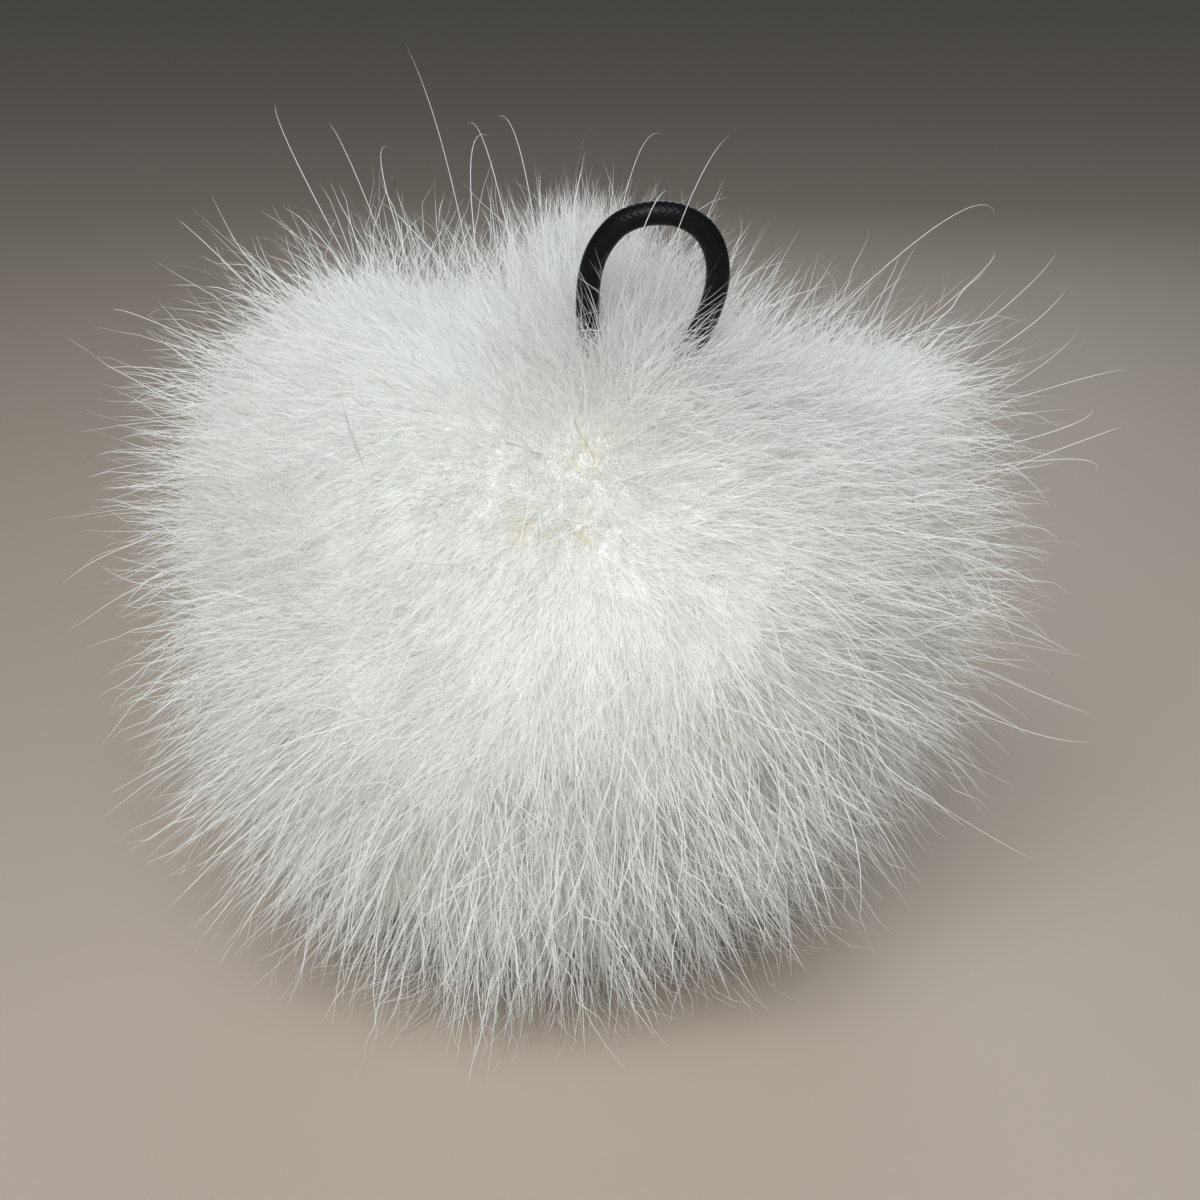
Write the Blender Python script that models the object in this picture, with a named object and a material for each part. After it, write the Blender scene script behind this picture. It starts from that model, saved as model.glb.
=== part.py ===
"""White fur pom-pom on a loop of black elastic cord.

A round of long-haired pelt is drawn up over a little filling, so that its fur stands out all round
as a ball, and a loop of elastic cord is tied into the drawn-up mouth, where the fur parts.
The fur is one solid whose surface is pointed locks. They lean down under their own weight and out
from a whorl in front of the loop, and lie along the table where the ball rests on them.

Metres, +Z up, -Y the front. The origin is the middle of the flat spot that the ball rests on.
"""

import math
import random

import bmesh
import bpy
from mathutils import Vector
from mathutils.geometry import intersect_point_line

# The ball over the tips of its locks, before it settles on the table
BALL_WIDTH = 0.125
BALL_DEPTH = 0.125
BALL_HEIGHT = 0.119
# How far its weight presses it down, which makes the flat spot
SETTLE = 0.0075

# The locks: how long they are, how much two may differ, how far weight and curl turn them, and how
# far they stand from an even spacing, as a share of it
LOCK_COUNT = 1500
LOCK_LENGTH = 0.0105
LOCK_VARIETY = 0.35
LOCK_DROOP = 0.5
LOCK_CURL = 0.16
LOCK_SCATTER = 0.35
# The height over the table at which locks begin to be pressed flat, how little room is left between
# them there, and how much of their length still lies out along the table
PRESSED_HEIGHT = 0.013
PRESSED_SHARE = 0.06
LYING_SHARE = 0.40

# Where the fur stands out fuller, or hangs back: the way there from the middle of the ball, by how
# much, and how far round the ball it spreads, in radians
SWELLS = (
    ((-0.76, 0.08, 0.64), 0.0075, 0.36),
    ((0.80, 0.08, 0.59), 0.0130, 0.22),
    ((-0.05, 0.25, 0.97), -0.0070, 0.30),
    ((0.10, -0.62, 0.78), 0.0040, 0.20),
    ((0.62, -0.45, -0.64), -0.0060, 0.45),
)

# The parting is a valley over the top of the ball, on the right behind the loop. Its spread is in
# radians, and locks beside it lean away from it.
PARTING_FRONT = Vector((0.42, -0.10, 0.90))
PARTING_BACK = Vector((0.54, 0.36, 0.76))
PARTING_DEPTH = 0.0090
PARTING_SPREAD = 0.19
PARTING_LEAN = 0.25

# The whorl in front of the loop, from which the locks round it lean out on all sides
WHORL = Vector((0.03, -0.86, 0.51))
WHORL_SPREAD = 0.35
WHORL_LEAN = 0.55

CORD_DIAMETER = 0.0028
# The room that the fur leaves round the cord, and how near to it the tip of a lock may come
CORD_CLEARANCE = 0.0003
LOCK_TO_CORD = 0.0015
# The elastic's middle line, from its end in the drawn-up mouth, out round the loop and back in
LOOP_ROUTE = (
    (0.0016, -0.0155, 0.0720),
    (0.0013, -0.0199, 0.0774),
    (0.0011, -0.0241, 0.0828),
    (0.0010, -0.0282, 0.0880),
    (0.0010, -0.0321, 0.0928),
    (0.0010, -0.0353, 0.0973),
    (0.0009, -0.0377, 0.1017),
    (0.0011, -0.0396, 0.1059),
    (0.0021, -0.0412, 0.1096),
    (0.0042, -0.0425, 0.1126),
    (0.0067, -0.0431, 0.1140),
    (0.0095, -0.0433, 0.1144),
    (0.0122, -0.0431, 0.1139),
    (0.0146, -0.0424, 0.1122),
    (0.0161, -0.0410, 0.1094),
    (0.0165, -0.0393, 0.1057),
    (0.0156, -0.0373, 0.1014),
    (0.0140, -0.0353, 0.0974),
    (0.0123, -0.0321, 0.0928),
    (0.0105, -0.0282, 0.0880),
    (0.0088, -0.0241, 0.0828),
    (0.0072, -0.0199, 0.0774),
    (0.0058, -0.0155, 0.0720),
)
# Points of the finished tube to each stretch of the route
ROUTE_STEPS = 3

WHITE = (0.84, 0.85, 0.84)
BLACK = (0.012, 0.012, 0.014)

MIDDLE = Vector((0, 0, BALL_HEIGHT / 2 - SETTLE))
GOLDEN_ANGLE = math.pi * (3 - math.sqrt(5))


def clear_scene():
    for thing in list(bpy.data.objects):
        bpy.data.objects.remove(thing, do_unlink=True)


def make_material(name, colour, roughness, sheen):
    material = bpy.data.materials.new(name)
    material.use_nodes = True
    shader = material.node_tree.nodes["Principled BSDF"]
    shader.inputs["Base Color"].default_value = (*colour, 1)
    shader.inputs["Roughness"].default_value = roughness
    shader.inputs["Metallic"].default_value = 0
    shader.inputs["Sheen Weight"].default_value = sheen
    material.diffuse_color = (*colour, 1)
    return material


def add_object(name, data, material=None):
    thing = bpy.data.objects.new(name, data)
    bpy.context.collection.objects.link(thing)
    if material:
        data.materials.append(material)
    return thing


def make_guide(thing):
    """Marks an object as a cutter, which is no piece of the pom-pom."""
    thing.hide_render = True
    thing.display_type = "WIRE"
    return thing


def cut(thing, cutter):
    modifier = thing.modifiers.new(cutter.name, "BOOLEAN")
    modifier.operation = "DIFFERENCE"
    modifier.object = cutter


def smooth_route():
    """The points of a smooth curve through the loop's route, ROUTE_STEPS to each stretch."""
    chosen = [Vector(point) for point in LOOP_ROUTE]
    padded = [2 * chosen[0] - chosen[1], *chosen, 2 * chosen[-1] - chosen[-2]]
    smooth = []
    for before, start, end, after in zip(padded, padded[1:], padded[2:], padded[3:]):
        span = (end - start).length
        leave = (end - before) * span / ((start - before).length + span)
        arrive = (after - start) * span / ((after - end).length + span)
        for step in range(ROUTE_STEPS):
            t = step / ROUTE_STEPS
            smooth.append(
                (2 * t**3 - 3 * t**2 + 1) * start
                + (t**3 - 2 * t**2 + t) * leave
                + (3 * t**2 - 2 * t**3) * end
                + (t**3 - t**2) * arrive
            )
    return [*smooth, chosen[-1]]


def tube(name, points, radius):
    """A round tube with closed ends along the points, as a curve."""
    curve = bpy.data.curves.new(name, "CURVE")
    curve.dimensions = "3D"
    curve.bevel_depth = radius
    curve.bevel_resolution = 2
    curve.use_fill_caps = True
    spline = curve.splines.new("POLY")
    spline.points.add(len(points) - 1)
    for spot, point in zip(spline.points, points):
        spot.co = (*point, 1)
    return curve


def elastic_loop():
    """The loop of round elastic cord, with both feet running down through the fur to the mouth."""
    curve = tube("elastic_loop", smooth_route(), CORD_DIAMETER / 2)
    return add_object("elastic_loop", curve, make_material("elastic_cord", BLACK, 0.6, 0))


def cord_room():
    """A cutter for the room that the fur leaves the cord: the loop's tube with the clearance added."""
    points = smooth_route()
    for end, inner in ((0, 1), (-1, -2)):
        points[end] += (points[end] - points[inner]).normalized() * CORD_CLEARANCE
    guide = add_object("guide", tube("guide", points, CORD_DIAMETER / 2 + CORD_CLEARANCE))
    bpy.context.view_layer.update()
    evaluated = guide.evaluated_get(bpy.context.evaluated_depsgraph_get())
    mesh = bpy.data.meshes.new_from_object(evaluated)
    bpy.data.objects.remove(guide)
    shape = bmesh.new()
    shape.from_mesh(mesh)
    bmesh.ops.remove_doubles(shape, verts=shape.verts, dist=1e-6)
    bmesh.ops.recalc_face_normals(shape, faces=shape.faces)
    shape.to_mesh(mesh)
    shape.free()
    return make_guide(add_object("cord_room", mesh))


def table_room():
    """A cutter for the table's own space, which the settled ball does not reach into."""
    shape = bmesh.new()
    bmesh.ops.create_cube(shape, size=1)
    mesh = bpy.data.meshes.new("table_room")
    shape.to_mesh(mesh)
    shape.free()
    cutter = make_guide(add_object("table_room", mesh))
    cutter.scale = (2 * BALL_WIDTH, 2 * BALL_DEPTH, BALL_HEIGHT)
    cutter.location.z = -BALL_HEIGHT / 2
    return cutter


def smooth_step(value):
    value = min(max(value, 0), 1)
    return value * value * (3 - 2 * value)


def hill(distance, spread):
    return math.exp(-((distance / spread) ** 2) / 2)


def off_parting(direction):
    """From the nearest point of the parting to this direction, on a ball of radius 1."""
    share = intersect_point_line(direction, PARTING_FRONT, PARTING_BACK)[1]
    nearest = PARTING_FRONT.lerp(PARTING_BACK, min(max(share, 0), 1))
    return direction - nearest.normalized()


def fur_surface(direction):
    """Where the tips of the fur reach to that way, from the middle of the ball."""
    out = -PARTING_DEPTH * hill(off_parting(direction).length, PARTING_SPREAD)
    for way, height, spread in SWELLS:
        out += height * hill((direction - Vector(way).normalized()).length, spread)
    half = Vector((BALL_WIDTH, BALL_DEPTH, BALL_HEIGHT)) / 2
    return half * direction + out * direction


def standing_share(direction):
    """How freely a lock stands there: 1 on the free fur, and little where the table presses it."""
    height = (MIDDLE + fur_surface(direction)).z
    return PRESSED_SHARE + (1 - PRESSED_SHARE) * smooth_step(height / PRESSED_HEIGHT)


def lock_foot(direction):
    return fur_surface(direction) - direction * LOCK_LENGTH * standing_share(direction)


def lock_tip(direction, chance, cord):
    """The tip of one lock. It leans down, away from the parting and the whorl and a little its own
    way, and the locks nearest to the cord are short enough to stay clear of it."""
    share = standing_share(direction)
    away = Vector()
    for off, spread, lean in (
        (off_parting(direction), 2 * PARTING_SPREAD, PARTING_LEAN),
        (direction - WHORL.normalized(), WHORL_SPREAD, WHORL_LEAN),
    ):
        away += lean * hill(off.length, spread) * off.normalized()
    curl = Vector([chance.uniform(-1, 1) for _ in range(3)])
    way = direction + LOCK_CURL * curl + away - Vector((0, 0, LOCK_DROOP))
    if way.z < 0:
        way.z *= share
    way.normalize()
    length = LOCK_LENGTH * max(share, LYING_SHARE) * (1 + LOCK_VARIETY * chance.uniform(-1, 1))
    foot = lock_foot(direction)
    keep_off = CORD_DIAMETER / 2 + LOCK_TO_CORD
    for _ in range(12):
        outer_half = [MIDDLE + foot + way * length * part for part in (0.6, 0.8, 1)]
        if min((spot - point).length for spot in outer_half for point in cord) > keep_off:
            break
        length *= 0.8
    return foot + way * length


def fur_ball():
    """The fur: a ball of six-sided locks, each a point between the low places round it."""
    chance = random.Random(5)
    shape = bmesh.new()
    scatter = LOCK_SCATTER / math.sqrt(LOCK_COUNT)
    for index in range(LOCK_COUNT):
        height = 1 - (2 * index + 1) / LOCK_COUNT
        level = math.sqrt(1 - height**2)
        turn = index * GOLDEN_ANGLE
        even = Vector((level * math.cos(turn), level * math.sin(turn), height))
        shape.verts.new((even + Vector([chance.gauss(0, scatter) for _ in range(3)])).normalized())
    bmesh.ops.convex_hull(shape, input=shape.verts)
    locks = set(shape.verts)
    # A low place goes into each face, and each edge turns from two locks to the low places beside it
    between_locks = list(shape.edges)
    bmesh.ops.poke(shape, faces=shape.faces)
    bmesh.ops.rotate_edges(shape, edges=between_locks)

    cord = smooth_route()
    for vert in shape.verts:
        direction = vert.co.normalized()
        if vert in locks:
            vert.co = lock_tip(direction, chance, cord)
        else:
            vert.co = lock_foot(direction)
    for axis in (0, 1):
        reach = [vert.co[axis] for vert in shape.verts]
        off_middle = (min(reach) + max(reach)) / 2
        for vert in shape.verts:
            vert.co[axis] -= off_middle
    bmesh.ops.recalc_face_normals(shape, faces=shape.faces)

    mesh = bpy.data.meshes.new("fur_ball")
    shape.to_mesh(mesh)
    shape.free()
    ball = add_object("fur_ball", mesh, make_material("white_fur", WHITE, 0.85, 0.5))
    ball.location = MIDDLE
    cut(ball, table_room())
    cut(ball, cord_room())
    return ball


clear_scene()
pom_pom = add_object("pom_pom", None)
for piece in (fur_ball(), elastic_loop()):
    piece.parent = pom_pom
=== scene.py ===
"""White fur pom-pom on a loop of black elastic cord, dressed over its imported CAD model.

Metres, +Z up, -Y the front. The origin is the middle of the flat spot that the ball rests on.
"""

import math

import bpy
import numpy as np
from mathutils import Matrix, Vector
from mathutils.kdtree import KDTree


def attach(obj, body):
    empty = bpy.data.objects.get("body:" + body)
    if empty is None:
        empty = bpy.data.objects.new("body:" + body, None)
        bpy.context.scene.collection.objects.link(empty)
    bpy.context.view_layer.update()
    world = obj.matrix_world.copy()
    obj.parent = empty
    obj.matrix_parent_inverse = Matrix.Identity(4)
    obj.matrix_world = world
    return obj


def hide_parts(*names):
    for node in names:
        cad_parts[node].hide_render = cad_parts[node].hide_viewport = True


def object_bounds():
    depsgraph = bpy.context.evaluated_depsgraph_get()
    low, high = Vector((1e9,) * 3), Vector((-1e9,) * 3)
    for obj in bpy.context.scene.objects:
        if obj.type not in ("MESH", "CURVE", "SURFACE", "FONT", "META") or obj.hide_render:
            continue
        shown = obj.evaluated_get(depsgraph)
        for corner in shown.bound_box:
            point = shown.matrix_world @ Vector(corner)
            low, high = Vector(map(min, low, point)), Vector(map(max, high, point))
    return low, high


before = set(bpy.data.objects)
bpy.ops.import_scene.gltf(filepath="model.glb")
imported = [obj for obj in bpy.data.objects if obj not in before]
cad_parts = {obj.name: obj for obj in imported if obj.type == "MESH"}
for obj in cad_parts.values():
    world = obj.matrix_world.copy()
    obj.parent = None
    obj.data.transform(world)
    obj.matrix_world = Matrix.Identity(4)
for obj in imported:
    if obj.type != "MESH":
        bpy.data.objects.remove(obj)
cad_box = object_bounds()
bpy.ops.object.select_all(action="DESELECT")

# The camera stands in front of the ball and a little above it, near enough to see some way over
# its top. The middle of the ball lies left of the picture's middle and a little under it.
BALL_MIDDLE = Vector((0, 0, 0.0512))
CAMERA_RISE = math.radians(18.5)
CAMERA_DISTANCE = 0.310
AIM_RIGHT = 0.00277
AIM_UP = 0.00116
LENS = 63.9
to_camera = Vector((0, -math.cos(CAMERA_RISE), math.sin(CAMERA_RISE)))
up = Vector((0, math.sin(CAMERA_RISE), math.cos(CAMERA_RISE)))
camera_place = BALL_MIDDLE + CAMERA_DISTANCE * to_camera
aim = BALL_MIDDLE + Vector((AIM_RIGHT, 0, 0)) + AIM_UP * up
bpy.ops.object.camera_add(
    location=camera_place, rotation=(aim - camera_place).to_track_quat("-Z", "Y").to_euler()
)
camera = bpy.context.object
camera.name = "camera"
camera.data.lens = LENS
camera.data.sensor_width = 36
camera.data.clip_start = 0.01
bpy.context.scene.camera = camera

# A plain pale table top, lit by a soft lamp above it on the left, a weaker one on the right and
# one behind the ball. All stand near it, so that the table falls dim behind it and the hair shows.
bpy.ops.mesh.primitive_plane_add(size=12)
table = bpy.context.object
table.name = "table_top"
table_finish = bpy.data.materials.new("pale_table")
table_finish.use_nodes = True
shader = table_finish.node_tree.nodes["Principled BSDF"]
shader.inputs["Base Color"].default_value = (0.41, 0.345, 0.29, 1)
shader.inputs["Roughness"].default_value = 0.6
table.data.materials.append(table_finish)


def soft_lamp(name, place, size, power, colour, spread=180):
    """A square lamp that faces the ball, and lights no wider than the spread, in degrees."""
    turn = (BALL_MIDDLE - Vector(place)).to_track_quat("-Z", "Y").to_euler()
    bpy.ops.object.light_add(type="AREA", location=place, rotation=turn)
    lamp = bpy.context.object
    lamp.name = name
    lamp.data.size = size
    lamp.data.energy = power
    lamp.data.color = colour
    lamp.data.spread = math.radians(spread)


soft_lamp("key_lamp", (-0.13, -0.80, 0.69), 0.80, 16.2, (0.955, 0.99, 1.0))
soft_lamp("fill_lamp", (0.75, -0.55, 0.45), 0.60, 0.4, (1.0, 0.98, 0.95))
soft_lamp("back_lamp", (0.12, 0.92, 0.45), 0.50, 0.25, (0.97, 0.99, 1.0), 60)
world = bpy.data.worlds.new("room")
bpy.context.scene.world = world
world.use_nodes = True
world.node_tree.nodes["Background"].inputs["Color"].default_value = (0.92, 0.98, 1.0, 1)
world.node_tree.nodes["Background"].inputs["Strength"].default_value = 0.12
bpy.context.scene.view_settings.view_transform = "Standard"

# The loop is round braided elastic, 2.8 mm thick: rubber threads under a tight cover of black
# yarns, which run round it both ways, over and under each other. Both its ends run down through
# the fur into the mouth of the pelt, where they are tied.
CORD_DIAMETER = 0.0028
LOOP_ROUTE = (
    (0.0016, -0.0155, 0.0720),
    (0.0013, -0.0199, 0.0774),
    (0.0011, -0.0241, 0.0828),
    (0.0010, -0.0282, 0.0880),
    (0.0010, -0.0321, 0.0928),
    (0.0010, -0.0353, 0.0973),
    (0.0009, -0.0377, 0.1017),
    (0.0011, -0.0396, 0.1059),
    (0.0021, -0.0412, 0.1096),
    (0.0042, -0.0425, 0.1126),
    (0.0067, -0.0431, 0.1140),
    (0.0095, -0.0433, 0.1144),
    (0.0122, -0.0431, 0.1139),
    (0.0146, -0.0424, 0.1122),
    (0.0161, -0.0410, 0.1094),
    (0.0165, -0.0393, 0.1057),
    (0.0156, -0.0373, 0.1014),
    (0.0140, -0.0353, 0.0974),
    (0.0123, -0.0321, 0.0928),
    (0.0105, -0.0282, 0.0880),
    (0.0088, -0.0241, 0.0828),
    (0.0072, -0.0199, 0.0774),
    (0.0058, -0.0155, 0.0720),
)
# The mesh has more rings where the loop shows than where it is buried in the fur, and the line
# that the hair is kept clear of has the same steps all along
CORD_SIDES = 60
BURIED_STEPS = 4
SHOWN_STEPS = 26
SHOWN_SPANS = range(4, 18)
PATH_STEPS = 4
# The yarns: how many run each way, how far along the cord it is from one to the next, how far
# they stand out, how round they are, how deep they go under, and how high they are on average
YARNS_EACH_WAY = 12
YARN_LENGTHWISE = 0.00072
YARN_RELIEF = 0.00013
YARN_ROUNDNESS = 0.9
YARN_DIP = 0.38
YARN_MEAN = 0.6
# On the cord's own map: the room beside the flat cord for each end, and the radius of an end
MAP_END_ROOM = 0.03
MAP_END_RADIUS = 0.006


def unit(arrows):
    """The arrows' ways, each as an arrow of length 1."""
    return arrows / np.linalg.norm(arrows, axis=-1, keepdims=True)


def smooth_route(steps_of):
    """Points of the smooth curve through the loop's route, steps_of(span) to each span."""
    chosen = np.array(LOOP_ROUTE)
    padded = np.array([2 * chosen[0] - chosen[1], *chosen, 2 * chosen[-1] - chosen[-2]])
    points = []
    for index in range(len(chosen) - 1):
        before, start, end, after = padded[index : index + 4]
        span = np.linalg.norm(end - start)
        leave = (end - before) * span / (np.linalg.norm(start - before) + span)
        arrive = (after - start) * span / (np.linalg.norm(after - end) + span)
        for t in np.arange(steps_of(index)) / steps_of(index):
            points.append(
                (2 * t**3 - 3 * t**2 + 1) * start
                + (t**3 - 2 * t**2 + t) * leave
                + (3 * t**2 - 2 * t**3) * end
                + (t**3 - t**2) * arrive
            )
    return np.array([*points, chosen[-1]])


def make_mesh(name, points, faces):
    """A smooth piece at the origin, from its points and the corners of its faces."""
    mesh = bpy.data.meshes.new(name)
    mesh.from_pydata(points.tolist(), [], faces)
    mesh.shade_smooth()
    piece = bpy.data.objects.new(name, mesh)
    bpy.context.collection.objects.link(piece)
    return piece


def braid_height(around, along):
    """How far the cover stands out, from 0 to 1. around and along count yarns: yarns of one way
    have their middles where the two add up to a whole number and a half, and those of the other
    way where they differ by one."""
    first, second = around + along, around - along
    across = [2 * (x - np.floor(x)) - 1 for x in (first, second)]
    first_on_top = (np.floor(first) + np.floor(second)) % 2 == 0
    over, beside = np.where(first_on_top, across, across[::-1])
    dip = YARN_DIP * np.cos(0.5 * math.pi * beside)
    return np.sqrt(1 - YARN_ROUNDNESS * over**2) * (1 - YARN_DIP + dip)


def braided_cord(path):
    """The cord's mesh round its path, closed at both ends, with its yarns as relief."""
    ahead = unit(np.gradient(path, axis=0))
    side = np.empty_like(path)
    side[0] = unit(np.cross(ahead[0], (1.0, 0.0, 0.0)))
    for index in range(1, len(path)):
        side[index] = side[index - 1] - ahead[index] * (side[index - 1] @ ahead[index])
        side[index] /= np.linalg.norm(side[index])
    other = np.cross(ahead, side)
    run = np.r_[0, np.cumsum(np.linalg.norm(np.diff(path, axis=0), axis=1))]
    turn = np.arange(CORD_SIDES) / CORD_SIDES
    relief = braid_height(turn * YARNS_EACH_WAY, run[:, None] / YARN_LENGTHWISE)
    radius = CORD_DIAMETER / 2 + YARN_RELIEF * (relief - YARN_MEAN)
    rings = (
        path[:, None]
        + (radius * np.cos(2 * math.pi * turn))[:, :, None] * side[:, None]
        + (radius * np.sin(2 * math.pi * turn))[:, :, None] * other[:, None]
    )
    rows, wide = radius.shape
    faces = []
    for row in range(rows - 1):
        for place in range(wide):
            after = (place + 1) % wide
            low, high = row * wide, (row + 1) * wide
            faces.append((low + place, low + after, high + after, high + place))
    faces.append(tuple(range(wide))[::-1])
    faces.append(tuple(range((rows - 1) * wide, rows * wide)))
    piece = make_mesh("braided_loop", rings.reshape(-1, 3), faces)

    # On its map the cord lies flat, from its start at the left to its end at the right, between the
    # small round maps of its two ends
    over = MAP_END_ROOM + (1 - 2 * MAP_END_ROOM) * run / run[-1]
    beside = np.arange(wide + 1) / wide
    spots = [
        (over[row + on], beside[place + turned])
        for row in range(rows - 1)
        for place in range(wide)
        for on, turned in ((0, 0), (0, 1), (1, 1), (1, 0))
    ]
    for middle, way in ((MAP_END_ROOM / 3, -1), (1 - MAP_END_ROOM / 3, 1)):
        angles = way * 2 * math.pi * turn
        spots += zip(
            middle + MAP_END_RADIUS * np.cos(angles), 0.5 + MAP_END_RADIUS * np.sin(angles)
        )
    layer = piece.data.uv_layers.new(name="OFBake")
    layer.uv.foreach_set("vector", np.array(spots, np.float32).ravel())
    return piece


loop = braided_cord(smooth_route(lambda span: SHOWN_STEPS if span in SHOWN_SPANS else BURIED_STEPS))
cord_line = smooth_route(lambda span: PATH_STEPS)
elastic = bpy.data.materials.new("black_elastic")
elastic.use_nodes = True
nodes, links = elastic.node_tree.nodes, elastic.node_tree.links
shader = nodes["Principled BSDF"]
shader.inputs["Specular IOR Level"].default_value = 0.09
place = nodes.new("ShaderNodeUVMap")
place.uv_map = "OFBake"
fibre_size = nodes.new("ShaderNodeVectorMath")
fibre_size.operation = "MULTIPLY"
fibre_size.inputs[1].default_value = (700, 55, 1)
links.new(place.outputs["UV"], fibre_size.inputs[0])
fibres = nodes.new("ShaderNodeTexNoise")
fibres.inputs["Scale"].default_value = 1
fibres.inputs["Detail"].default_value = 3
links.new(fibre_size.outputs[0], fibres.inputs["Vector"])
blacks = nodes.new("ShaderNodeValToRGB")
blacks.color_ramp.elements[0].position = 0.35
blacks.color_ramp.elements[0].color = (0.0015, 0.0016, 0.0018, 1)
blacks.color_ramp.elements[1].position = 0.75
blacks.color_ramp.elements[1].color = (0.009, 0.0095, 0.0105, 1)
links.new(fibres.outputs["Fac"], blacks.inputs["Fac"])
links.new(blacks.outputs["Color"], shader.inputs["Base Color"])
gloss = nodes.new("ShaderNodeMapRange")
gloss.inputs["From Min"].default_value = 0.30
gloss.inputs["From Max"].default_value = 0.70
gloss.inputs["To Min"].default_value = 0.45
gloss.inputs["To Max"].default_value = 0.22
links.new(fibres.outputs["Fac"], gloss.inputs["Value"])
links.new(gloss.outputs["Result"], shader.inputs["Roughness"])
loop.data.materials.append(elastic)
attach(loop, "root")
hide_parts("elastic_loop")

# The underfur is the dense wool of the pelt, pressed together into a soft round body that keeps
# the long hair up. Only its outer face is reached by light, and it lies flat on the table.
SHAPE_MIDDLE = Vector((0, 0, 0.052))
UNDERFUR_DEPTH = 0.0066
UNDERFUR_FLOOR_GAP = 0.0004
PRESSED_HEIGHT = 0.024
FOOT_DRAWN_IN = 0.50
# The places where the loop comes out of the fur, and where the hair parts all round
FEET_FRONT = (0.09, -0.69, 0.72)
FEET_SPREAD = 0.22
WHORL = (0.02, -0.85, 0.53)
# Where the wool stands out fuller, or hangs back: the way there from the middle of the ball, how
# far round the ball it spreads, in radians, and by how much
SWELLS = (
    (FEET_FRONT, FEET_SPREAD, 0.0035),
    (WHORL, 0.16, 0.0016),
    ((-0.13, 0.13, 0.98), 0.30, -0.0055),
    ((-0.54, 0.08, 0.84), 0.15, 0.0040),
    ((0.70, 0.06, 0.71), 0.20, 0.0035),
    ((0.85, -0.02, 0.52), 0.15, -0.0020),
    ((0.60, -0.52, -0.60), 0.48, -0.0095),
    ((-0.65, -0.40, -0.60), 0.45, -0.0020),
    ((1.00, -0.10, 0.05), 0.36, -0.0045),
    ((-0.99, -0.10, 0.10), 0.42, -0.0036),
    ((-0.05, -0.75, -0.65), 0.40, -0.0045),
)

# A mould of the CAD ball's outside, too coarse for its locks and for the cord's room in it
MOULD_GRAIN = 0.005
mould = bpy.data.objects.new("mould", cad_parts["fur_ball"].data.copy())
bpy.context.collection.objects.link(mould)
bpy.context.view_layer.objects.active = mould
mould.select_set(True)
bpy.ops.object.mode_set(mode="EDIT")
bpy.ops.mesh.select_all(action="SELECT")
bpy.ops.mesh.remove_doubles(threshold=1e-6)
bpy.ops.object.mode_set(mode="OBJECT")
remesh = mould.modifiers.new("coarse", "REMESH")
remesh.mode = "VOXEL"
remesh.voxel_size = MOULD_GRAIN
bpy.ops.object.modifier_apply(modifier="coarse")
bpy.ops.object.select_all(action="DESELECT")

bpy.ops.mesh.primitive_ico_sphere_add(subdivisions=6, radius=0.09, location=SHAPE_MIDDLE)
underfur = bpy.context.object
underfur.name = "underfur"
bpy.ops.object.transform_apply(location=True, rotation=False, scale=False)
wrap = underfur.modifiers.new("wrap", "SHRINKWRAP")
wrap.target = mould
wrap.wrap_method = "PROJECT"
wrap.use_negative_direction = True
wrap.use_positive_direction = False
even = underfur.modifiers.new("even", "SMOOTH")
even.factor = 0.5
even.iterations = 14
for modifier in (wrap, even):
    bpy.ops.object.modifier_apply(modifier=modifier.name)
bpy.data.objects.remove(mould)
bpy.ops.object.shade_smooth()


def from_middle(points):
    """The way from the middle of the ball to each point."""
    return unit(points - np.array(SHAPE_MIDDLE))


def near_spot(points, spot, spread):
    """1 on the way of the spot, as seen from the middle of the ball, fading to 0 round it."""
    far = np.linalg.norm(from_middle(points) - unit(np.array(spot)), axis=1)
    return np.exp(-((far / spread) ** 2) / 2)[:, None]


def free_share(points):
    """0 where the fur is pressed on the table, and 1 where it stands free."""
    share = np.clip(points[:, 2] / PRESSED_HEIGHT, 0, 1)
    return (share * share * (3 - 2 * share))[:, None]


surface = np.array([vert.co for vert in underfur.data.vertices])
surface_ways = np.array([vert.normal for vert in underfur.data.vertices])
surface_ways[:, 2] *= free_share(surface)[:, 0]
sunk = np.full((len(surface), 1), UNDERFUR_DEPTH)
for spot, spread, height in SWELLS:
    sunk -= height * near_spot(surface, spot, spread)
surface -= surface_ways * sunk
surface[:, :2] *= 1 - FOOT_DRAWN_IN * (1 - free_share(surface))
surface[:, 2] = np.maximum(surface[:, 2], UNDERFUR_FLOOR_GAP)
underfur.data.vertices.foreach_set("co", surface.astype(np.float32).ravel())
underfur.data.update()

# Its finish is pale wool in streaks that run away from the whorl, as the hair over it does: the
# whorl is turned to the top, and each point goes by its way round from there. The whole finish is
# darker than the hair, as painted shade of the coat's depth, so that it shows no brighter than the
# hair where the hair parts.
underfur_wool_painted_shade = bpy.data.materials.new("underfur_wool_painted_shade")
underfur_wool_painted_shade.use_nodes = True
nodes, links = underfur_wool_painted_shade.node_tree.nodes, underfur_wool_painted_shade.node_tree.links
nodes["Principled BSDF"].inputs["Roughness"].default_value = 0.9
place = nodes.new("ShaderNodeTexCoord")
middle = nodes.new("ShaderNodeVectorMath")
middle.operation = "SUBTRACT"
middle.inputs[1].default_value = SHAPE_MIDDLE
links.new(place.outputs["Object"], middle.inputs[0])
whorl_up = Vector((0.03, -0.86, 0.51)).rotation_difference((0, 0, 1))
turn = nodes.new("ShaderNodeVectorRotate")
turn.rotation_type = "EULER_XYZ"
turn.inputs["Rotation"].default_value = whorl_up.to_euler()
links.new(middle.outputs[0], turn.inputs["Vector"])
flat = nodes.new("ShaderNodeVectorMath")
flat.operation = "MULTIPLY"
flat.inputs[1].default_value = (1, 1, 0)
links.new(turn.outputs[0], flat.inputs[0])
around = nodes.new("ShaderNodeVectorMath")
around.operation = "NORMALIZE"
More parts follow.
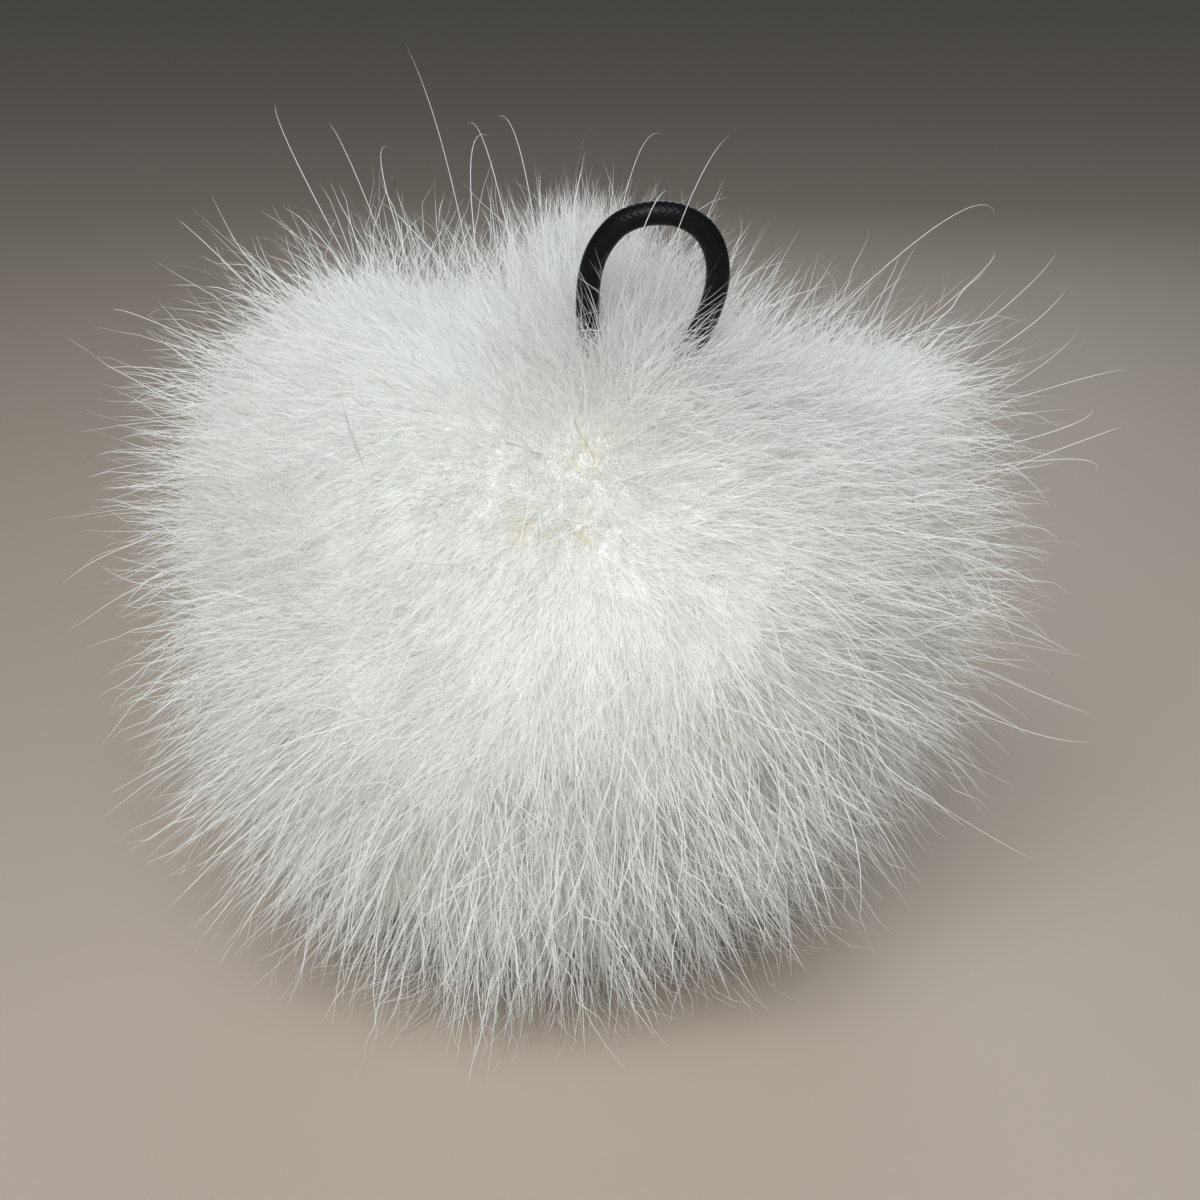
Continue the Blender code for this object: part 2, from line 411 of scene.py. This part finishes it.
links.new(flat.outputs[0], around.inputs[0])
stretch = nodes.new("ShaderNodeVectorMath")
stretch.operation = "MULTIPLY_ADD"
stretch.inputs[1].default_value = (1.6, 1.6, 1.6)
links.new(turn.outputs[0], stretch.inputs[0])
links.new(around.outputs[0], stretch.inputs[2])
streak = nodes.new("ShaderNodeTexNoise")
streak.inputs["Scale"].default_value = 95
streak.inputs["Detail"].default_value = 5
streak.inputs["Roughness"].default_value = 0.6
links.new(stretch.outputs[0], streak.inputs["Vector"])
# The streaks are the wool's tone; the ramp as a whole is darker than the hair, as painted shade of
# the coat's depth
streaks_and_painted_shade = nodes.new("ShaderNodeValToRGB")
streaks_and_painted_shade.color_ramp.elements[0].position = 0.38
streaks_and_painted_shade.color_ramp.elements[0].color = (0.66, 0.655, 0.64, 1)
streaks_and_painted_shade.color_ramp.elements[1].position = 0.62
streaks_and_painted_shade.color_ramp.elements[1].color = (0.86, 0.86, 0.845, 1)
links.new(streak.outputs["Fac"], streaks_and_painted_shade.inputs["Fac"])
links.new(streaks_and_painted_shade.outputs["Color"], nodes["Principled BSDF"].inputs["Base Color"])
underfur.data.materials.append(underfur_wool_painted_shade)
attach(underfur, "root")
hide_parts("fur_ball")

# The coat is short dense wool with longer guard hair in it, all grown from the pelt. Each hair is
# a narrow ribbon, finer at its tip, that leans down under its weight and away from the parting in
# front of the loop, and gathers with its neighbours into tufts.
PARTING_TOP = np.array((0.04, -0.77, 0.635))
PARTING_LOW = np.array((0.02, -0.90, 0.435))
# How far round the ball the hair leans away from it and how much, how softly that begins, and how
# far the parting wanders from a straight line
PARTING_SPREAD = 0.40
PARTING_LEAN = 0.92
PARTING_SOFT = 0.10
PARTING_WOBBLE = 0.0012
chance = np.random.default_rng(11)

# The underfur's outer face, in which all the hair is rooted
underfur.data.calc_loop_triangles()
skin_points = np.array([vert.co for vert in underfur.data.vertices])
skin_ways = np.array([vert.normal for vert in underfur.data.vertices])
skin_faces = np.array([face.vertices for face in underfur.data.loop_triangles])


def from_parting(roots):
    """The way from the parting to each root, as seen from the middle of the ball."""
    ways = from_middle(roots)
    along = PARTING_LOW - PARTING_TOP
    share = np.clip((ways - PARTING_TOP) @ along / (along @ along), 0, 1)[:, None]
    return ways - unit(PARTING_TOP + share * along)


# Hair that meets the table lies out along it: how near to it and how high it may lie there, how far
# it is turned outwards, and how steeply it may go
FLOOR_GAP = 0.0003
LYING_HEIGHT = 0.0012
LYING_SPLAY = 0.3
STEEPEST = 0.95


def hair_roots(count, crowd, spot=None, spread=1.0):
    """Places spread over the underfur, closer or wider apart by the parting and none where it lies
    on the table, or round one spot alone, and the way that it faces there."""
    corners = skin_points[skin_faces]
    area = np.linalg.norm(
        np.cross(corners[:, 1] - corners[:, 0], corners[:, 2] - corners[:, 0]), axis=1
    )
    area *= corners[:, :, 2].mean(1) > LYING_HEIGHT
    by_parting = np.exp(-(from_parting(corners.mean(1)) ** 2).sum(1) / (2 * PARTING_SPREAD**2))
    area *= 1 + crowd * by_parting
    if spot:
        area *= near_spot(corners.mean(1), spot, spread)[:, 0]
    faces = chance.choice(len(area), count, p=area / area.sum())
    parts = chance.dirichlet((1, 1, 1), count)[:, :, None]
    roots = (corners[faces] * parts).sum(1)
    return roots, unit((skin_ways[skin_faces[faces]] * parts).sum(1))


# The waves in which the whole coat is swept this way and that: how far, over what length, and the
# way, the start and the size of each. Besides, how far hair goes by the way its own place faces.
SWEEP = 0.10
SWEEP_LENGTH = 0.022
SWEEPS = [
    (np.column_stack([unit(chance.normal(0, 1, (3, 3))) / wide, chance.uniform(0, 1, 3)]).T, wide)
    for wide in (1.9, 1.0, 0.45)
]
OUTWARD_SHARE = 0.35


def combed(roots, outward):
    """The way the hair leaves the underfur: outwards, leaning away from the parting near it, and
    swept a little this way and that over the whole coat."""
    swept = sum(
        size * np.sin(2 * math.pi * (roots @ turn[:3] / SWEEP_LENGTH + turn[3]))
        for turn, size in SWEEPS
    )
    off = from_parting(roots + PARTING_WOBBLE * swept)
    far = np.linalg.norm(off, axis=1, keepdims=True)
    way = unit((1 - OUTWARD_SHARE) * from_middle(roots) + OUTWARD_SHARE * outward)
    way += PARTING_LEAN * np.exp(-((far / PARTING_SPREAD) ** 2) / 2) * off / (far + PARTING_SOFT)
    return way + SWEEP * swept


# How much looser the hair is by the parting, and the bend, the wave and the droop along it. Only
# hair of many joints is wavy.
LOOSER = 0.8
LOOSER_AREA = 0.12
BEND_FROM = 0.3
WAVE = 0.16
WAVY_JOINTS = 5
WAVE_LENGTH = 0.012
DROOP_ROOT = 0.14
DROOP_TIP = 0.42


def grow(roots, outward, lengths, joints, scatter, curl):
    """The middle line of each hair, grown joint by joint from its root."""
    count = len(roots)
    lines = np.empty((count, joints + 1, 3))
    lines[:, 0] = roots
    near = np.exp(-(from_parting(roots) ** 2).sum(1, keepdims=True) / LOOSER_AREA)
    start = combed(roots, outward) + (1 + LOOSER * near) * chance.normal(0, scatter, (count, 3))
    bend = chance.normal(0, curl, (count, 3))
    wave = chance.normal(0, WAVE if joints >= WAVY_JOINTS else 0, (count, 3))
    swing = chance.uniform(0, 1, (count, 1))
    swings = chance.uniform(1.0, 2.0, (count, 1)) * lengths[:, None] / WAVE_LENGTH
    step = (lengths / joints)[:, None]
    ground = FLOOR_GAP + chance.uniform(0, LYING_HEIGHT, count)
    for joint in range(joints):
        share = (joint + 0.5) / joints
        way = start + bend * (share - BEND_FROM)
        way += wave * np.sin(2 * math.pi * (swing + swings * share))
        way[:, 2] -= DROOP_ROOT + (DROOP_TIP - DROOP_ROOT) * share
        way = unit(way)
        here = lines[:, joint]
        falling = here[:, 2] + way[:, 2] * step[:, 0] < ground
        rise = np.clip((ground - here[:, 2]) / step[:, 0], -STEEPEST, STEEPEST)
        flat = way[:, :2] + LYING_SPLAY * unit(here[:, :2])
        flat = unit(flat) * np.sqrt(1 - rise**2)[:, None]
        way[falling] = np.column_stack([flat, rise])[falling]
        lines[:, joint + 1] = here + way * step
    return lines


# The tufts that the hair gathers into, each by its middle line. Hair is drawn less to them by the
# parting than far from it, and mostly at its tip.
TUFTS = 3000
TUFT_JOINTS = 12
TUFT_LENGTH = 0.018
TUFT_CROWD = 1
GATHERED_NEAR = 0.15
GATHERED_FAR = 1.3
GATHERED_LATE = 1.4
tuft_roots, tuft_outward = hair_roots(TUFTS, TUFT_CROWD)
tuft_lengths = TUFT_LENGTH * chance.uniform(0.8, 1.2, TUFTS)
tufts = grow(tuft_roots, tuft_outward, tuft_lengths, TUFT_JOINTS, scatter=0.14, curl=0.30)
tuft_tree = KDTree(TUFTS)
for index, root in enumerate(tuft_roots):
    tuft_tree.insert(root, index)
tuft_tree.balance()


def gathered(lines, lengths, pull):
    """Draws each hair towards the nearest tuft, more and more towards the hair's tip."""
    nearest = np.array([tuft_tree.find(root)[1] for root in lines[:, 0]])
    share = np.linspace(0, 1, lines.shape[1])
    place = np.clip(lengths[:, None] * share / tuft_lengths[nearest][:, None], 0, 1) * TUFT_JOINTS
    low = np.minimum(place.astype(int), TUFT_JOINTS - 1)
    part = (place - low)[:, :, None]
    goal = tufts[nearest[:, None], low] * (1 - part) + tufts[nearest[:, None], low + 1] * part
    far = np.linalg.norm(from_parting(lines[:, 0]), axis=1)
    weight = chance.uniform(0, 1, len(lines)) * pull * np.clip(far, GATHERED_NEAR, GATHERED_FAR)
    return lines + weight[:, None, None] * share[:, None] ** GATHERED_LATE * (goal - lines)


# How far hair stays off the cord, the height from which the cord is in sight, the places along each
# joint that are tested for it, and how many hairs are tested at once
CORD_GAP = 0.0003
CORD_SEEN_FROM = 0.095
TESTED_AT = (0.2, 0.6, 1.0)
TESTED_AT_ONCE = 500
# How far out of the CAD box hair may stand, as a share of its sides and in metres
PROUD_SHARE = 0.03
PROUD_MORE = 0.0095
low_corner, high_corner = (np.array(corner) for corner in cad_box)
sides = high_corner - low_corner
low_limit = low_corner - PROUD_SHARE * sides - PROUD_MORE
high_limit = high_corner + PROUD_SHARE * sides + PROUD_MORE


def kept_clear(lines):
    """Shortens hair that reaches past the room it has, and leaves out what would cut the cord."""
    reach = lines - lines[:, :1]
    room = np.where(reach > 0, high_limit - lines[:, :1], low_limit - lines[:, :1])
    share = np.where(np.abs(reach) > 1e-6, room / np.where(reach == 0, 1, reach), np.inf)
    lines = lines[:, :1] + reach * np.clip(share.min((1, 2)), 0, 1)[:, None, None]
    fine = np.stack([lines[:, :-1] + t * np.diff(lines, axis=1) for t in TESTED_AT], 2)
    near = fine.reshape(len(lines), -1, 3)
    box_low, box_high = cord_line.min(0) - CORD_DIAMETER, cord_line.max(0) + CORD_DIAMETER
    maybe = np.flatnonzero(((near > box_low) & (near < box_high)).all(2).any(1))
    keep = np.ones(len(lines), bool)
    shown = cord_line[cord_line[:, 2] > CORD_SEEN_FROM]
    for some in np.array_split(maybe, max(1, len(maybe) // TESTED_AT_ONCE)):
        gaps = np.linalg.norm(near[some][:, :, None] - shown, axis=3).min((1, 2))
        keep[some] = gaps > CORD_DIAMETER / 2 + CORD_GAP
    return lines[keep], keep


# A ribbon's outline: how late it narrows, and how much of its width it has at the root
TAPER_LATE = 2.5
ROOT_WIDTH = 0.75
# The piece's map has a column for each tone: how many, half a ribbon's width in it, and where the
# ribbon's root and the rest of it lie there
TONES = 8
MAP_HALF = 0.0015
MAP_ROOT = 0.02
MAP_LENGTH = 0.96


def ribbons(name, lines, outward, width, tone, finish, rolled, turned):
    """A piece of many hairs: a ribbon along each line, pointed at its tip. rolled is how far it
    may turn away from facing outwards, and turned how round its shading is, in degrees."""
    count, joints = len(lines), lines.shape[1] - 1
    along = unit(np.gradient(lines, axis=1))
    roll = outward[:, None] + rolled * unit(chance.normal(0, 1, (count, 1, 3)))
    side = unit(np.cross(along, roll))
    face = np.cross(side, along)
    face *= np.where((face * outward[:, None]).sum(2, keepdims=True) < 0, -1, 1)
    share = np.linspace(0, 1, joints + 1)[None, :, None]
    half = 0.5 * width[:, None, None] * (1 - share**TAPER_LATE)
    half = half * (ROOT_WIDTH + (1 - ROOT_WIDTH) * share)
    handed = (np.cross(side, along) * face).sum(2, keepdims=True) < 0
    side = np.where(handed, -side, side)
    left, right = lines - half * side, lines + half * side
    away = math.radians(turned)
    left_way = math.cos(away) * face - math.sin(away) * side
    right_way = math.cos(away) * face + math.sin(away) * side
    body = np.stack([left[:, :-1], right[:, :-1]], 2).reshape(count, -1, 3)
    points = np.concatenate([body, lines[:, -1:]], 1)
    body = np.stack([left_way[:, :-1], right_way[:, :-1]], 2).reshape(count, -1, 3)
    ways = np.concatenate([body, face[:, -1:]], 1)
    first = np.arange(count) * (2 * joints + 1)
    faces = []
    for joint in range(joints - 1):
        at = first + 2 * joint
        faces += np.stack([at, at + 1, at + 3, at + 2], 1).tolist()
    at = first + 2 * joints - 2
    faces += np.stack([at, at + 1, at + 2], 1).tolist()
    piece = make_mesh(name, points.reshape(-1, 3), faces)
    piece.data.normals_split_custom_set_from_vertices(ways.reshape(-1, 3))
    u = ((tone + 0.5) / TONES)[:, None] + np.r_[np.tile((-MAP_HALF, MAP_HALF), joints), 0]
    v = np.broadcast_to(np.r_[np.repeat(np.arange(joints) / joints, 2), 1], u.shape)
    spots = np.stack([u, MAP_ROOT + MAP_LENGTH * v], 2).reshape(-1, 2)
    corners = np.empty(len(piece.data.loops), np.int32)
    piece.data.loops.foreach_get("vertex_index", corners)
    layer = piece.data.uv_layers.new(name="OFBake")
    layer.uv.foreach_set("vector", spots[corners].astype(np.float32).ravel())
    piece.data.materials.append(finish)
    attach(piece, "root")
    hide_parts("fur_ball")


# White hair: matt, and it lets much light through. Across its map lie the tones, from left to
# right, of which the last two are stains, and along it the hair is a little darker by its root, as
# painted shade in the gaps between the hairs.
WHITE_TONES = 6
TONE_COLOURS = (
    (0.975, 0.98, 0.975),
    (0.97, 0.98, 0.98),
    (0.98, 0.98, 0.97),
    (0.95, 0.955, 0.95),
    (0.965, 0.965, 0.95),
    (0.97, 0.965, 0.945),
    (0.91, 0.85, 0.71),
    (0.87, 0.80, 0.65),
)
white_hair = bpy.data.materials.new("white_hair")
white_hair.use_nodes = True
nodes, links = white_hair.node_tree.nodes, white_hair.node_tree.links
shader = nodes["Principled BSDF"]
shader.inputs["Roughness"].default_value = 0.5
shader.inputs["Specular IOR Level"].default_value = 0.35
place = nodes.new("ShaderNodeUVMap")
place.uv_map = "OFBake"
split = nodes.new("ShaderNodeSeparateXYZ")
links.new(place.outputs["UV"], split.inputs[0])
tones = nodes.new("ShaderNodeValToRGB")
tones.color_ramp.interpolation = "CONSTANT"
for index, colour in enumerate(TONE_COLOURS):
    stops = tones.color_ramp.elements
    stop = stops[index] if index < 2 else stops.new(index / TONES)
    stop.position = index / TONES
    stop.color = (*colour, 1)
links.new(split.outputs["X"], tones.inputs["Fac"])
# Painted shade: each hair is darker by its root, where the gaps between the hairs lie in shade
painted_root_shade = nodes.new("ShaderNodeValToRGB")
painted_root_shade.color_ramp.elements[0].color = (0.93, 0.925, 0.91, 1)
painted_root_shade.color_ramp.elements[1].position = 0.5
painted_root_shade.color_ramp.elements[1].color = (1, 1, 1, 1)
links.new(split.outputs["Y"], painted_root_shade.inputs["Fac"])
tone_and_root_shade = nodes.new("ShaderNodeMix")
tone_and_root_shade.data_type = "RGBA"
tone_and_root_shade.blend_type = "MULTIPLY"
tone_and_root_shade.inputs["Factor"].default_value = 1
links.new(tones.outputs["Color"], tone_and_root_shade.inputs["A"])
links.new(painted_root_shade.outputs["Color"], tone_and_root_shade.inputs["B"])
links.new(tone_and_root_shade.outputs["Result"], shader.inputs["Base Color"])
glow = nodes.new("ShaderNodeBsdfTranslucent")
links.new(tone_and_root_shade.outputs["Result"], glow.inputs["Color"])
through = nodes.new("ShaderNodeMixShader")
through.inputs["Fac"].default_value = 0.60
links.new(shader.outputs["BSDF"], through.inputs[1])
links.new(glow.outputs["BSDF"], through.inputs[2])
links.new(through.outputs["Shader"], nodes["Material Output"].inputs["Surface"])

# The guard hair is glossier than the wool, and lets less light through
guard_hair = white_hair.copy()
guard_hair.name = "guard_hair"
guard_hair.node_tree.nodes["Principled BSDF"].inputs["Roughness"].default_value = 0.35
guard_hair.node_tree.nodes["Principled BSDF"].inputs["Specular IOR Level"].default_value = 0.6
guard_hair.node_tree.nodes["Mix Shader"].inputs["Fac"].default_value = 0.52

# How closely the hair stands by the parting, over its closeness elsewhere. Wool lies with its flat
# side outwards, and guard hair is turned any way and rounder in its shading.
WOOL_CROWD = 1.9
WOOL_ROLLED = 0.9
WOOL_TURNED = 25
GUARD_CROWD = -0.4
GUARD_ROLLED = 2.0
GUARD_TURNED = 55
# Where the wool is longer or shorter than elsewhere: the way there, how far it spreads, and the
# share of its length that it gains
LONGER_SPOTS = (
    (FEET_FRONT, FEET_SPREAD, 0.35),
    ((-0.78, -0.15, 0.60), 0.40, 0.30),
    ((0.78, -0.15, 0.60), 0.40, 0.30),
    ((0.62, -0.55, -0.56), 0.50, -0.30),
    (WHORL, 0.17, -0.40),
)
PRESSED_SHORTER = 0.3
# Most hairs of a coat are nearer to its shortest length than to its longest
LENGTH_SPREAD = (1.4, 2.6)
# Where the hair round the parting is stained, and how far each stain spreads
STAINED_SHARE = 0.45
STAINS = (
    ((0.010, -0.798, 0.602), 0.026),
    ((0.075, -0.774, 0.627), 0.016),
    ((-0.145, -0.880, 0.452), 0.026),
    ((-0.002, -0.895, 0.446), 0.028),
)


def coat(name, count, joints, lengths, width, scatter, curl, pull, wool, spot=None, spread=1.0):
    """One length of the hair. wool is 1 in the dense wool, which is shorter where it is pressed on
    the table, and less in the guard hair, which reaches out of it everywhere."""
    crowd = WOOL_CROWD if wool == 1 else GUARD_CROWD
    roots, outward = hair_roots(count, crowd, spot, spread)
    lengths = lengths[0] + (lengths[1] - lengths[0]) * chance.beta(*LENGTH_SPREAD, count)
    lengths *= 1 - PRESSED_SHORTER * wool * (1 - free_share(roots)[:, 0])
    for way, wide, more in LONGER_SPOTS:
        lengths *= 1 + wool * more * near_spot(roots, way, wide)[:, 0]
    lines = grow(roots, outward, lengths, joints, scatter, curl)
    lines = gathered(lines, lengths, pull)
    lines[:, :, 2] = np.maximum(lines[:, :, 2], FLOOR_GAP)
    lines, keep = kept_clear(lines)
    widths = width * chance.uniform(0.75, 1.25, len(lines))
    tone = chance.integers(0, WHITE_TONES, len(lines))
    for way, wide in STAINS:
        near = near_spot(lines[:, -1], way, wide)[:, 0]
        stained = chance.uniform(0, 1, len(lines)) < STAINED_SHARE * near
        tone[stained] = chance.integers(WHITE_TONES, TONES, stained.sum())
    if wool == 1:
        ribbons(name, lines, outward[keep], widths, tone, white_hair, WOOL_ROLLED, WOOL_TURNED)
    else:
        ribbons(name, lines, outward[keep], widths, tone, guard_hair, GUARD_ROLLED, GUARD_TURNED)


# Each coat has its number of hairs and of joints in a hair, its shortest and longest length, and
# its width. The first four are wool, the rest guard hair: long hair all over, strays, the veil
# over the loop's feet, the fringe in front over the table, and the tuft behind the loop.
coat("down_short", 48000, 2, (0.0012, 0.0040), 0.00014, scatter=0.24, curl=0.30, pull=0.30, wool=1)
coat("down_middle", 48000, 2, (0.0020, 0.0052), 0.00014, scatter=0.24, curl=0.30, pull=0.35, wool=1)
coat("down_long", 48000, 2, (0.0028, 0.0064), 0.00014, scatter=0.24, curl=0.32, pull=0.40, wool=1)
coat("coat_short", 40000, 3, (0.0036, 0.0082), 0.00013, scatter=0.24, curl=0.36, pull=0.50, wool=1)
coat("coat_long", 16500, 5, (0.0065, 0.0235), 0.00016, scatter=0.30, curl=0.50, pull=0.50, wool=0.3)
coat("stray_hair", 1400, 10, (0.0130, 0.0310), 0.00018, scatter=0.30, curl=0.50, pull=0.10, wool=0)
veil_spot, fringe_spot, tuft_spot = (0.09, -0.62, 0.78), (0.20, -0.68, -0.66), (-0.03, 0.00, 1.00)
coat(
    "loop_veil", 4200, 5, (0.0080, 0.0230), 0.00011,
    scatter=0.36, curl=0.60, pull=0.10, wool=0, spot=veil_spot, spread=0.12,
)
coat(
    "low_fringe", 3000, 7, (0.0130, 0.0310), 0.00022,
    scatter=0.36, curl=0.60, pull=0.20, wool=0, spot=fringe_spot, spread=0.60,
)
coat(
    "rear_tuft", 2000, 5, (0.0110, 0.0250), 0.00013,
    scatter=0.20, curl=0.36, pull=0.70, wool=0, spot=tuft_spot, spread=0.07,
)

# The longest guard hairs stand out alone, each rooted in the pelt below where it leaves the wool.
# Each has how far it is behind the ball's middle, and where it leaves the wool, bends and ends:
# across and up from that middle, in millimetres.
LONG_HAIRS = (
    (10, (-15.6, 44.0), (-19.6, 66.0), (-25.3, 82.2)),
    (10, (-35.8, 52.1), (-41.2, 65.1), (-44.1, 73.5)),
    (5, (-31.0, 53.6), (-32.9, 63.9), (-36.7, 70.6)),
    (8, (-27.8, 53.6), (-28.4, 61.9), (-27.7, 67.1)),
    (12, (-10.0, 53.0), (-13.0, 65.1), (-16.4, 70.3)),
    (15, (-7.0, 53.0), (-8.4, 65.5), (-12.1, 71.5)),
    (10, (-16.7, 53.0), (-15.9, 63.5), (-13.2, 68.7)),
    (5, (4.0, 52.0), (7.6, 63.5), (11.9, 69.0)),
    (-64, (8.6, 40.5), (15.1, 57.2), (22.0, 69.0)),
    (-64, (2.5, 42.0), (9.0, 54.5), (13.0, 60.5)),
    (0, (56.6, 28.8), (71.6, 32.8), (79.9, 34.5)),
    (5, (53.0, 36.4), (62.4, 44.1), (69.4, 51.7)),
    (0, (52.3, 33.8), (63.9, 39.7), (70.9, 46.4)),
    (0, (54.4, 28.1), (65.4, 33.9), (72.6, 40.2)),
    (8, (40.6, 47.0), (50.8, 54.7), (60.6, 57.5)),
    (5, (50.1, 41.6), (56.5, 46.9), (59.7, 51.7)),
    (0, (59.5, 18.6), (71.6, 23.6), (79.0, 26.2)),
    (0, (57.4, 23.1), (69.7, 25.8), (74.5, 29.1)),
    (0, (58.8, 22.7), (70.5, 21.5), (75.0, 19.5)),
    (-5, (53.0, -3.9), (64.6, -11.9), (75.1, -15.9)),
    (-5, (51.5, -11.9), (63.9, -17.8), (74.8, -19.5)),
    (-10, (47.0, -24.0), (58.8, -33.0), (66.1, -36.7)),
    (-5, (-57.6, 14.3), (-67.8, 8.4), (-75.5, 3.3)),
    (0, (-51.8, 36.1), (-62.7, 35.1), (-69.3, 34.6)),
    (5, (-44.5, 44.1), (-53.3, 52.1), (-58.4, 56.5)),
    (0, (-54.0, 41.2), (-62.7, 42.1), (-67.8, 43.1)),
)
LONG_JOINTS = 14
LONG_WIDTH = 0.00017
LONG_ROLLED = 0.6
LONG_TONES = 3
to_right = np.array((1.0, 0.0, 0.0))
along = np.linspace(0, 1, LONG_JOINTS + 1)[:, None]
skin_spots = from_middle(skin_points)
lines = []
for behind, *marks in LONG_HAIRS:
    start, bend, tip = (
        np.array(camera_place)
        + (np.array(BALL_MIDDLE - camera_place) + (across * to_right + rise * np.array(up)) / 1000)
        * (1 + behind / 1000 / CAMERA_DISTANCE)
        for across, rise in marks
    )
    start = skin_points[(skin_spots @ unit(start - np.array(SHAPE_MIDDLE))).argmax()]
    lines.append(
        start * (1 - along) * (1 - 2 * along)
        + bend * 4 * along * (1 - along)
        + tip * along * (2 * along - 1)
    )
lines, keep = kept_clear(np.array(lines))
forward = np.tile(to_camera, (len(lines), 1))
widths = np.full(len(lines), LONG_WIDTH)
tone = chance.integers(0, LONG_TONES, len(lines))
ribbons("long_hair", lines, forward, widths, tone, guard_hair, LONG_ROLLED, GUARD_TURNED)
